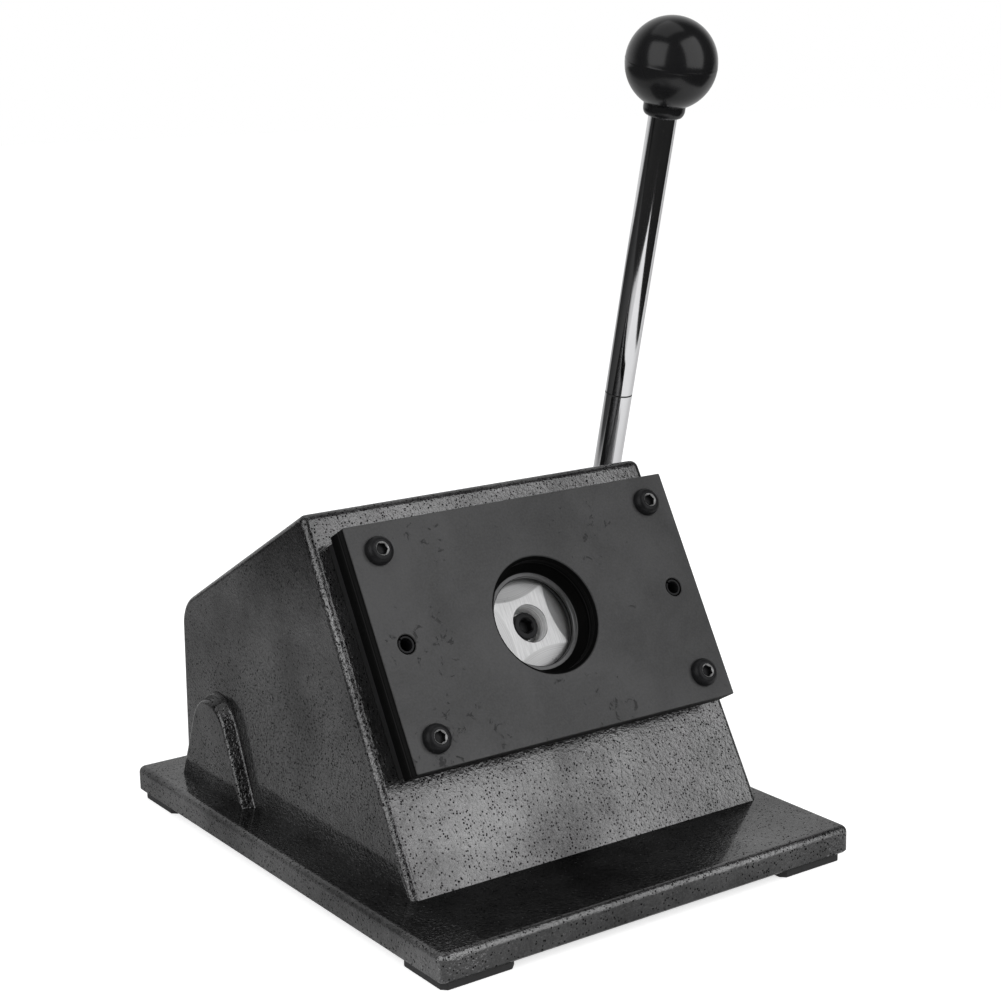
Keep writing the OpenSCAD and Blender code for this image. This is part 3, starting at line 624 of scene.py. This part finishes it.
guide_r, guide_len, guide_wall, flange_r, flange_t = 24.05, 50.0, 8.0, 33.05, 4.0
bush_r, bush_wall, bush_inside, left_bore_end = 11.05, 6.0, 49.7, 76.4
post_r, post_h, bore_start = 10.0, 10.4, 45.0
shell = carved(
    shell, bored(guide_r + guide_wall, -guide_len, -flange_t, on_face),
    bored(bush_r + bush_wall, bush_inside, wall_inside + 1, along_shaft),
    bored(bush_r + bush_wall, -wall_inside - 1, -bush_inside, along_shaft),
    *[bored(post_r, -sink, post_h, at(x, y, base_top)) for x, y in casting_screws], how="UNION")
shell = carved(
    shell, box((-200, -200, -50), (200, 200, base_top)),
    bored(guide_r, -guide_len - 1, 1, on_face), bored(flange_r, -flange_t, 5, on_face),
    bored(bush_r, -left_bore_end, -bore_start, along_shaft),
    bored(bush_r, bore_start, 90, along_shaft))
piece("housing_casting", shell, Matrix(), "frame", "hammertone", enamel, "housing", sharp=28)


# ---- Housing screws ----
# Four blackened cap screws in counterbores under the base, up into posts in the housing.

def dressed(material, *nodes):
    """Gives frame nodes that stay as they are a finish of their own."""
    for node in nodes:
        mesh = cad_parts[node].data
        mesh.materials.clear()
        mesh.materials.append(material)


dressed(black_screw, "housing_screws")


# ---- Ram guide ----
# A flanged bush of sintered bronze, let into the slanted face and held by three screws.

def sintered_bronze(place):
    pores = place.noise(3200, 2)
    patina = place.noise(120, 3)
    return {
        "Base Color": patina.tint((0.34, 0.20, 0.085), (0.56, 0.36, 0.16)),
        "Metallic": 1.0,
        "Roughness": 0.30 + 0.25 * pores,
        "Normal": pores.bump(0.00003)}


bronze = finish("sintered_bronze", sintered_bronze)
dressed(bronze, "ram_guide_bush")
dressed(black_screw, "guide_bush_screws")


# ---- Guide plate ----
# A flat plate against the slanted face, a little smaller than the die plate, with a close
# hole that steers the punch. Saw-cut edges, blackened all over.

def dull_black(place):
    saw = place.stretched(1.0, 0.06, 0.06).noise(2500, 2)
    patch = place.noise(60, 3)
    return {
        "Base Color": patch.tint((0.006, 0.006, 0.006), (0.016, 0.016, 0.017)),
        "Metallic": 0.2,
        "Roughness": 0.45 + 0.15 * patch,
        "Normal": saw.bump(0.00004)}


def rounded_plate(w, h, t, ease=0.3):
    """Flat plate standing on z = 0, with its edges eased."""
    return layered(
        rounded_rectangle(w / 2, h / 2, 0.5, 3), [(-ease, 0), (0, ease), (0, t - ease), (-ease, t)])


def drilled(spots, r, top, ease=0.3):
    """Holes whose mouths are eased open at the top face."""
    profile = [(0, -1), (r, -1), (r, top - ease), (r + ease + 1, top + 1), (0, top + 1)]
    return [moved(turned(profile, 48), at(x, y)) for x, y in spots]


punch_r, running_fit = 16.6, 0.05
edge_r = punch_r + running_fit
plate_w, plate_h, guide_plate_t, guide_plate_inset = 140.0, 88.0, 4.4, 1.5
guide_plate_w, guide_plate_h = plate_w - 2 * guide_plate_inset, plate_h - 2 * guide_plate_inset
screw_spots = [(sx * 59.0, sy * 33.75) for sx in (-1, 1) for sy in (-1, 1)]
pin_spots = [(-59.0, 0.0), (59.0, 0.0)]
screw_hole_r, pin_r = 3.2, 3.5

guide_plate = carved(
    rounded_plate(guide_plate_w, guide_plate_h, guide_plate_t),
    *drilled([(0, 0)], edge_r, guide_plate_t), *drilled(screw_spots, screw_hole_r, guide_plate_t),
    *drilled(pin_spots, pin_r, guide_plate_t))
piece("punch_guide_plate", guide_plate, on_face, "frame", "dark_plate",
      finish("dull_black", dull_black), "guide_plate")


# ---- Slot spacers ----
# Two strips of spring steel at the ends of the slot. The paper passes between them.

def rolled_strip(place):
    streak = place.stretched(0.08, 1.0, 1.0).noise(1800, 3)
    return {
        "Base Color": streak.tint((0.20, 0.20, 0.21), (0.34, 0.34, 0.35)),
        "Metallic": 1.0,
        "Roughness": 0.28 + 0.2 * streak,
        "Normal": streak.bump(0.00002)}


strip_steel = finish("rolled_strip", rolled_strip)
spacer_w, slot_gap, spacer_ease = 16.0, 1.2, 0.1
for name, side in (("left", -1), ("right", 1)):
    bar = rounded_plate(spacer_w, guide_plate_h, slot_gap, spacer_ease)
    bar = carved(
        moved(bar, at(side * (guide_plate_w - spacer_w) / 2)),
        *drilled(screw_spots, screw_hole_r, slot_gap, spacer_ease),
        *drilled(pin_spots, pin_r, slot_gap, spacer_ease))
    piece(name + "_slot_strip", bar, on_face @ at(z=guide_plate_t), "frame", "strip_steel",
          strip_steel, name + "_slot_spacer")


# ---- Die ring ----
# A hardened and ground ring let into the back of the die plate. The punch cuts against
# its inner edge, and a funnel opens from there to the window, painted near black as the
# shade deep in the window.

def over_face(place, z):
    """Height in metres over a level that is z millimetres out from the slanted face."""
    return place.along(outwards) - (face_spot.dot(outwards) + z) / 1000


def hardened(place):
    rings = place.away(face_spot / 1000).stripes(5200.0)
    stain = place.noise(150, 3)
    # Painted shade: the funnel, above the flat round the edge, is coloured near black and made
    # rougher.
    funnel_painted_shade = over_face(place, slot_front + ring_flat_h).ease(0.0, 0.0003)
    steel = (0.5 * stain + 0.5 * rings).tint((0.05, 0.05, 0.051), (0.15, 0.15, 0.152))
    return {
        "Base Color": funnel_painted_shade.tint(steel, (0.004, 0.004, 0.004)),
        "Metallic": 0.9,
        "Roughness": 0.30 + 0.2 * stain + 0.3 * funnel_painted_shade,
        "Specular IOR Level": 0.2,
        "Normal": rings.bump(0.00002)}


ring_r, ring_t, window_r, ring_flat, ring_flat_h = 25.0, 4.5, 20.85, 1.5, 1.4
flat_r = edge_r + ring_flat
ring = turned([
    (edge_r, 0), (ring_r, 0), (ring_r, ring_t - 0.3), (ring_r - 0.3, ring_t), (window_r, ring_t),
    (flat_r + 0.1, ring_flat_h + 0.1), (flat_r, ring_flat_h), (edge_r + 0.3, ring_flat_h),
    (edge_r, ring_flat_h - 0.3), (edge_r, 0)], 160)
piece("cutting_ring", ring, on_face @ at(z=slot_front), "frame", "hard_steel",
      finish("hardened_steel", hardened), "die_ring")


# ---- Die plate ----
# A thick steel plate, ground flat and blackened to a satin grey, with a round window that
# is chamfered at its mouth. Its saw-cut sides and the window's wall are painted near black
# as shade, with lighter streaks along their length only in the few millimetres next to the
# front, partly saw marks and partly a painted highlight.

def satin_black(place):
    smudge = place.noise(22, 4, 0.6, 0.5)
    fine = place.noise(1300, 2)
    speck = place.noise(700, 2).ease(0.70, 0.76)
    scuff = (place.noise(240, 4, 0.7, 0.6) + 0.5 * place.noise(28, 2)).ease(0.92, 0.98)
    height = over_face(place, plate_front - 0.4)
    ground = height.ease(0.0002, 0.0004)
    # Painted shade and highlight: off the ground front the plate is near black, with lighter saw
    # streaks only near the front face.
    streak = height.stripes(900.0).ease(0.45, 0.7) * height.ease(-0.006, -0.001)
    shaded_sides = streak.tint((0.003, 0.003, 0.003), (0.09, 0.09, 0.09))
    tone = (0.75 * smudge + 0.25 * fine).ease(0.25, 0.75) * (1.0 - 0.6 * scuff)
    front = tone.tint((0.020, 0.020, 0.0205), (0.052, 0.052, 0.053))
    return {
        "Base Color": ground.tint(shaded_sides, front),
        "Metallic": 0.95 - 0.6 * ground,
        "Roughness": 0.62 - 0.24 * ground + 0.14 * smudge + 0.25 * scuff,
        "Specular IOR Level": 0.5,
        "Normal": (fine * 0.5 + speck - 2.0 * scuff).bump(0.00003)}


window_chamfer = 1.4
plate_front = slot_front + die_plate_t
window = turned([
    (0, -1), (ring_r, -1), (ring_r, ring_t), (window_r, ring_t),
    (window_r, die_plate_t - window_chamfer), (window_r + window_chamfer + 1, die_plate_t + 1),
    (0, die_plate_t + 1)], 160)
die_plate = carved(
    rounded_plate(plate_w, plate_h, die_plate_t), window,
    *drilled(screw_spots, screw_hole_r, die_plate_t), *drilled(pin_spots, pin_r, die_plate_t))
piece("window_plate", die_plate, on_face @ at(z=slot_front), "frame", "dark_plate",
      finish("satin_black", satin_black), "die_plate")


# ---- Plate screws ----
# Four blackened button-head screws, domed from the rim up to a flat ring round the socket.
# The key has rubbed the mouths of the sockets bare.

def button_screw(head_r, head_h, thread_r, length, key):
    """Screw pointing down from z = 0, with its domed head above."""
    flat, rim = key / 2 + 1.0, 0.6
    dome = [(flat + (head_r - flat) * sin(a), rim + (head_h - rim) * cos(a))
            for a in (radians(angle) for angle in range(90, -1, -6))]
    head = turned([*shank(thread_r, length), (head_r, 0), *dome, (0, head_h)], 64)
    return carved(head, *socket(key, head_h * 0.35, head_h))


def worn_steel(place):
    rub = place.noise(1200, 2)
    return {
        "Base Color": rub.tint((0.22, 0.22, 0.22), (0.55, 0.55, 0.55)),
        "Metallic": 1.0,
        "Roughness": 0.50 + 0.20 * rub,
        "Normal": rub.bump(0.00002)}


def rubbed(made, axis, spots, reach):
    """Gives the eased mouths of the sockets at these places the look of bare steel."""
    made.data.materials.append(finish("worn_steel", worn_steel))
    for face in made.data.polygons:
        steep = abs(face.normal.dot(axis))
        near = min((face.center * 1000 - spot).cross(axis).length for spot in spots)
        if 0.3 < steep < 0.95 and near < reach:
            face.material_index = 1


button_r, button_h, thread_r, button_key = 5.25, 3.3, 3.0, 4.0
plate_screws = together([
    moved(button_screw(button_r, button_h, thread_r, 26, button_key),
          at(x, y) @ about("Z", 13 + 37 * n)) for n, (x, y) in enumerate(screw_spots)])
screw_set = piece("plate_screw_set", plate_screws, on_face @ at(z=plate_front), "frame",
                  "black_screws", black_screw, "plate_screws")
rubbed(screw_set, outwards, [on_face @ Vector((*spot, 0)) for spot in screw_spots], 2.95)


# ---- Spring pins ----
# Two pins rolled from spring steel strip, with a slit along them. Driven through the
# plates into the housing, they line the window up with the punch.

def split_pin(r, bore, length, slit_at):
    """Rolled tube with a slit, standing on z = 0, chamfered at both ends."""
    half_slit = atan2(0.5, r)
    angles = [slit_at + half_slit + (2 * pi - 2 * half_slit) * k / 60 for k in range(61)]
    profile = [
        (bore, 0.0), (r - 0.5, 0.0), (r, 0.8), (r, length - 0.8), (r - 0.5, length), (bore, length)]
    return closed([[(q * cos(a), q * sin(a), z) for q, z in profile] for a in angles])


pin_bore, pin_length, pin_bite, slit_at = 2.4, 22.1, 7.0, radians(130)
pins = together([
    moved(split_pin(pin_r, pin_bore, pin_length, slit_at), at(x, y, -pin_bite))
    for x, y in pin_spots])
piece("rolled_pins", pins, on_face, "frame", "spring_steel", black_screw, "spring_pins")


# ---- Punch ----
# Hardened steel. Its face is ground flat, then hollow-ground in four places, which leaves
# a bright four-pointed land round the screw's counterbore and a curved cutting edge.

cutter_count, cutter_turn, relief_sag, relief_depth = 4, 9.0, 2.0, 1.2
chord = punch_r * sin(radians(45))
land_r = (chord ** 2 + relief_sag ** 2) / (2 * relief_sag)
land_from = chord - relief_sag
relief = punch_r - land_from
cutter_lift = (land_r * relief - relief ** 2 / 2) / relief_depth
cutter_r = hypot(land_r, cutter_lift)
cutter_out = land_from + land_r
cutter_angles = [radians(cutter_turn + 360 / cutter_count * k) for k in range(cutter_count)]
cutter_spots = [(cutter_out * cos(a), cutter_out * sin(a)) for a in cutter_angles]
punch_front, punch_len, punch_ease = 4.2, 16.0, 0.6
punch_back = punch_front - punch_len
cap_h, screw_sink, punch_counterbore_r, mouth_ease = 6.0, 2.8, 7.1, 0.15
screw_seat = punch_front - screw_sink - cap_h


def ground_punch(place):
    swing = [place.away(on_face @ Vector((x, y, punch_front)) / 1000) for x, y in cutter_spots]
    nearest = swing[0].lower(swing[1]).lower(swing[2].lower(swing[3]))
    hollow = 1.0 - nearest.ease(land_r / 1000 - 0.0001, land_r / 1000)
    arcs = nearest.stripes(3600.0, 3.0)
    grain = place.stretched(1.0, 0.05, 0.05).noise(3000, 3)
    marks = arcs * hollow + grain * (1.0 - hollow)
    stain = place.noise(210, 4, 0.7).ease(0.62, 0.7) * hollow
    steel = (marks - 0.5 * stain).tint((0.24, 0.24, 0.245), (0.56, 0.56, 0.56))
    # Painted light: the counterbore's wall is coloured near white and hardly metallic, brightest on
    # its turned ridges, for the lamps' light falling into it.
    near_screw = 1.0 - place.away(on_face @ Vector((0, 0, punch_front)) / 1000).ease(0.0105, 0.0108)
    inwards = 0.0 - over_face(place, punch_front)
    wall = near_screw * inwards.ease(0.0002, 0.0004)
    ridges = inwards.stripes(1500.0, 1.0)
    return {
        "Base Color": (wall * (2.4 * ridges - 0.3)).tint(steel, (0.95, 0.95, 0.95)),
        "Metallic": 1.0 - 0.9 * wall,
        "Roughness": 0.30 + 0.12 * marks + 0.06 * hollow + 0.35 * wall,
        "Normal": (marks + 6.0 * ridges * wall).bump(0.00001)}


def cutter(x, y):
    """Lens-shaped cap of a large ball, whose lowest point is beside the punch."""
    radii = [0, 12, 20, 25] + [28 + 0.5 * k for k in range(17)]
    cap = [(q, cutter_lift - sqrt(cutter_r ** 2 - q ** 2)) for q in radii]
    return moved(turned([*cap, (radii[-1], 6), (0, 6)], 360), at(x, y, punch_front))


punch = turned([
    (0, punch_back), (punch_r - punch_ease, punch_back), (punch_r, punch_back + punch_ease),
    (punch_r, punch_front), (0, punch_front)], 180)
screw_room = turned([
    (0, punch_back - 0.2), (screw_hole_r, punch_back - 0.2), (screw_hole_r, screw_seat),
    (punch_counterbore_r, screw_seat), (punch_counterbore_r, punch_front - mouth_ease),
    (punch_counterbore_r + mouth_ease + 1, punch_front + 1), (0, punch_front + 1)], 96)
punch = carved(punch, *[cutter(x, y) for x, y in cutter_spots], screw_room)
piece("round_punch", punch, on_face, "ram", "bright_punch", finish("ground_punch", ground_punch),
      "punch", sharp=12)


# ---- Punch screw ----
# A blackened cap screw sunk in the punch, which pulls it against the ram.

def cap_screw(head_r, head_h, thread_r, length, key):
    """Screw pointing down from z = 0, with its tall head above."""
    head = turned([
        *shank(thread_r, length), (head_r, 0), (head_r, head_h - 0.6),
        (head_r - 0.2, head_h - 0.2), (head_r - 0.6, head_h), (0, head_h)], 64)
    return carved(head, *socket(key, head_h * 0.45, head_h))


punch_screw = moved(
    cap_screw(5.0, cap_h, thread_r, 19.2, 5.0), at(z=screw_seat) @ about("Z", 20))
piece("punch_cap_screw", punch_screw, on_face, "ram", "black_screws", black_screw, "punch_screw")


# ---- Ram ----
# A ground steel bar that slides in the guide, with a yoke at its rear end for the cam.

def ground_steel(place):
    along = place.stretched(1.0, 0.15, 0.15).noise(1500, 3)
    film = place.noise(45, 3)
    return {
        "Base Color": film.tint((0.30, 0.30, 0.31), (0.48, 0.48, 0.49)),
        "Metallic": 1.0,
        "Roughness": 0.22 + 0.2 * along,
        "Normal": along.bump(0.00001)}


ground_bar = finish("ground_steel", ground_steel)
dressed(ground_bar, "ram")


# ---- Cross shaft ----
# A ground shaft in two bronze bushes, held endways by a collar inside and by a bronze
# washer under the hub. A key drives the eccentric cam, whose turning moves the ram.

dressed(bronze, "left_shaft_bush", "right_shaft_bush", "thrust_washer")
dressed(ground_bar, "cross_shaft", "cam", "cam_key", "shaft_collar")
dressed(black_screw, "collar_screw")


# ---- Lever hub ----
# A turned and plated steel hub on the shaft's right end, keyed, with a washer and a screw
# in its end recess. The lever screws into its side.

hub_low, hub_high = (1000 * corner.x - housing_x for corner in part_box("lever_hub"))
hub_r, hub_bore_r, hub_recess_r, hub_ease = 16.0, 7.0, 11.0, 0.3
end_washer_r, end_washer_t, screw_head_h = 10.5, 2.0, 3.3
recess_x = hub_high - end_washer_t - screw_head_h - running_fit
lever_x = (hub_low + hub_high) / 2
lever_lean, rod_r, rod_tail_r, rod_tail, rod_sink, rod_joint = 14.3, 5.6, 4.0, 8.0, 3.0, 125.0
on_lever = on_shaft @ at(lever_x) @ about("X", lever_lean)


def plated(place):
    """Bright plating, dulled by grime in the fine line where the two rods meet."""
    haze = place.noise(35, 4, 0.6)
    fine = place.noise(900, 2)
    joint, rod_axis = on_lever @ Vector((0, 0, rod_joint)), on_lever.to_3x3().col[2]
    off_joint = place.along(rod_axis) - joint.dot(rod_axis) / 1000
    grime = 1.0 - abs(off_joint).ease(0.00028, 0.00036)
    bright = haze.tint((0.55, 0.55, 0.56), (0.68, 0.68, 0.69))
    return {
        "Base Color": grime.tint(bright, (0.06, 0.06, 0.06)),
        "Metallic": 1.0,
        "Roughness": 0.03 + 0.06 * haze + 0.02 * fine + 0.4 * grime,
        "Normal": fine.bump(0.000002)}


chrome = finish("plated_steel", plated)
hub = turned([
    (0, hub_low), (hub_r - 1, hub_low), (hub_r - hub_ease, hub_low + hub_ease),
    (hub_r, hub_low + 1), (hub_r, hub_high - 1), (hub_r - hub_ease, hub_high - hub_ease),
    (hub_r - 1, hub_high), (hub_recess_r + hub_ease, hub_high),
    (hub_recess_r, hub_high - hub_ease), (hub_recess_r, recess_x), (0, recess_x)], 128)
hub = carved(
    moved(hub, along_shaft), bored(hub_bore_r, hub_low - 1, recess_x + 0.02, along_shaft),
    bored(rod_r, hub_r - rod_sink, hub_r + 9, on_lever),
    bored(rod_tail_r, rod_tail, hub_r, on_lever))
piece("turned_hub", hub, Matrix(), "lever", "chrome", chrome, "lever_hub")
washer = turned([
    (0, 0), (end_washer_r - 0.2, 0), (end_washer_r, 0.2), (end_washer_r, end_washer_t - 0.2),
    (end_washer_r - 0.2, end_washer_t), (0, end_washer_t)], 96)
washer = carved(washer, *drilled([(0, 0)], screw_hole_r, end_washer_t, 0.2))
piece("retaining_washer", washer, along_shaft @ at(z=recess_x), "lever", "chrome", chrome,
      "hub_end_washer")
hub_screw = button_screw(button_r, screw_head_h - 0.3, thread_r, end_washer_t + 13, button_key)
piece("retaining_screw", hub_screw, along_shaft @ at(z=recess_x + end_washer_t), "lever",
      "black_screws", black_screw, "hub_end_screw")
dressed(ground_bar, "hub_key")


# ---- Lever rods ----
# Two plated rods on one axis. The lower one screws into the hub and the upper one into
# the lower one, so a fine line shows between their chamfered ends.

lever_len, rod_chamfer, rod_seat = 260.0, 0.3, hub_r - rod_sink
stud_r, stud_len, tip_r, tip_len = 3.5, 14.0, 4.0, 16.0
knob_r, knob_collar_r, knob_collar_h, knob_cup_h = 17.75, 8.15, 2.6, 3.0
knob_neck = lever_len - knob_r - knob_collar_h
joint_r = rod_r - rod_chamfer
lower = turned([
    (0, rod_tail), (rod_tail_r, rod_tail), (rod_tail_r, rod_seat), (rod_r, rod_seat),
    (rod_r, rod_joint - rod_chamfer), (joint_r, rod_joint), (stud_r, rod_joint),
    (stud_r, rod_joint - stud_len - 1), (0, rod_joint - stud_len - 1)], 128)
piece("lower_rod", lower, on_lever, "lever", "chrome", chrome, "lower_lever_rod")
upper = turned([
    (0, rod_joint - stud_len), (stud_r, rod_joint - stud_len), (stud_r, rod_joint),
    (joint_r, rod_joint), (rod_r, rod_joint + rod_chamfer), (rod_r, knob_neck),
    (tip_r, knob_neck), (tip_r, knob_neck + tip_len), (0, knob_neck + tip_len)], 128)
piece("upper_rod", upper, on_lever, "lever", "chrome", chrome, "upper_lever_rod")


# ---- Ball knob ----
# A ball of black moulded resin, polished, with a short collar that rounds in to the rod
# and a brass insert inside. A faint line from the mould runs round its middle.

def moulded_resin(place):
    haze = place.noise(40, 4, 0.6)
    dust = place.noise(1100, 2).ease(0.72, 0.8)
    return {
        "Base Color": haze.tint((0.006, 0.006, 0.0065), (0.012, 0.012, 0.0125)),
        "Roughness": 0.16 + 0.06 * haze + 0.2 * dust,
        "IOR": 1.36,
        "Normal": haze.bump(0.00005)}


neck_r, insert_r, insert_len = 6.5, 6.3, 18.0
seam_h, seam_half = 0.12, 0.35
cup = [(neck_r + (knob_collar_r - neck_r) * sin(a), knob_neck + knob_cup_h * (1 - cos(a)))
       for a in (radians(9 * k) for k in range(11))]
collar_angle = acos(knob_collar_r / knob_r)
ball = []
for k in range(120):
    a = -collar_angle + (collar_angle + pi / 2) * k / 120
    q = knob_r + seam_h * max(0.0, 1.0 - abs(a) * knob_r / seam_half)
    ball.append((q * cos(a), lever_len + q * sin(a)))
knob = turned([(0, knob_neck), *cup, *ball, (0, lever_len + knob_r)], 160)
knob = carved(knob, bored(insert_r, knob_neck - 1, knob_neck + insert_len, Matrix()))
piece("resin_ball", knob, on_lever, "lever", "knob_plastic", finish("moulded_resin", moulded_resin),
      "ball_knob", sharp=40)
dressed(bronze, "knob_insert")


# ---- Stop pins ----
# Two shouldered steel pins in the housing's right side. The lever rests against the upper
# one and stops on the lower one at the end of its swing.

stop_r, stop_stud_r, swing = 4.0, 3.0, 66.0
stop_root = wall_inside - 3
stop_length = lever_x + rod_r + 3 - stop_root
stop_shoulder = housing_w / 2 + 0.5 - stop_root
stop_offset = rod_r + stop_r + 0.3
stop_pin = [
    (0, 0), (stop_stud_r, 0), (stop_stud_r, stop_shoulder), (stop_r - 0.4, stop_shoulder),
    (stop_r, stop_shoulder + 0.4), (stop_r, stop_length - 1), (stop_r - 0.3, stop_length - 0.3),
    (stop_r - 1, stop_length), (0, stop_length)]
for name, lean, reach, side in (
        ("upper", lever_lean, 54.0, 1), ("lower", lever_lean + swing, 66.0, -1)):
    root = on_shaft @ about("X", lean) @ at(0, side * stop_offset, reach) @ about("Y", 90)
    piece(name + "_stop", turned(stop_pin, 64), root @ at(z=stop_root), "frame", "chrome",
          ground_bar, name + "_stop_pin")
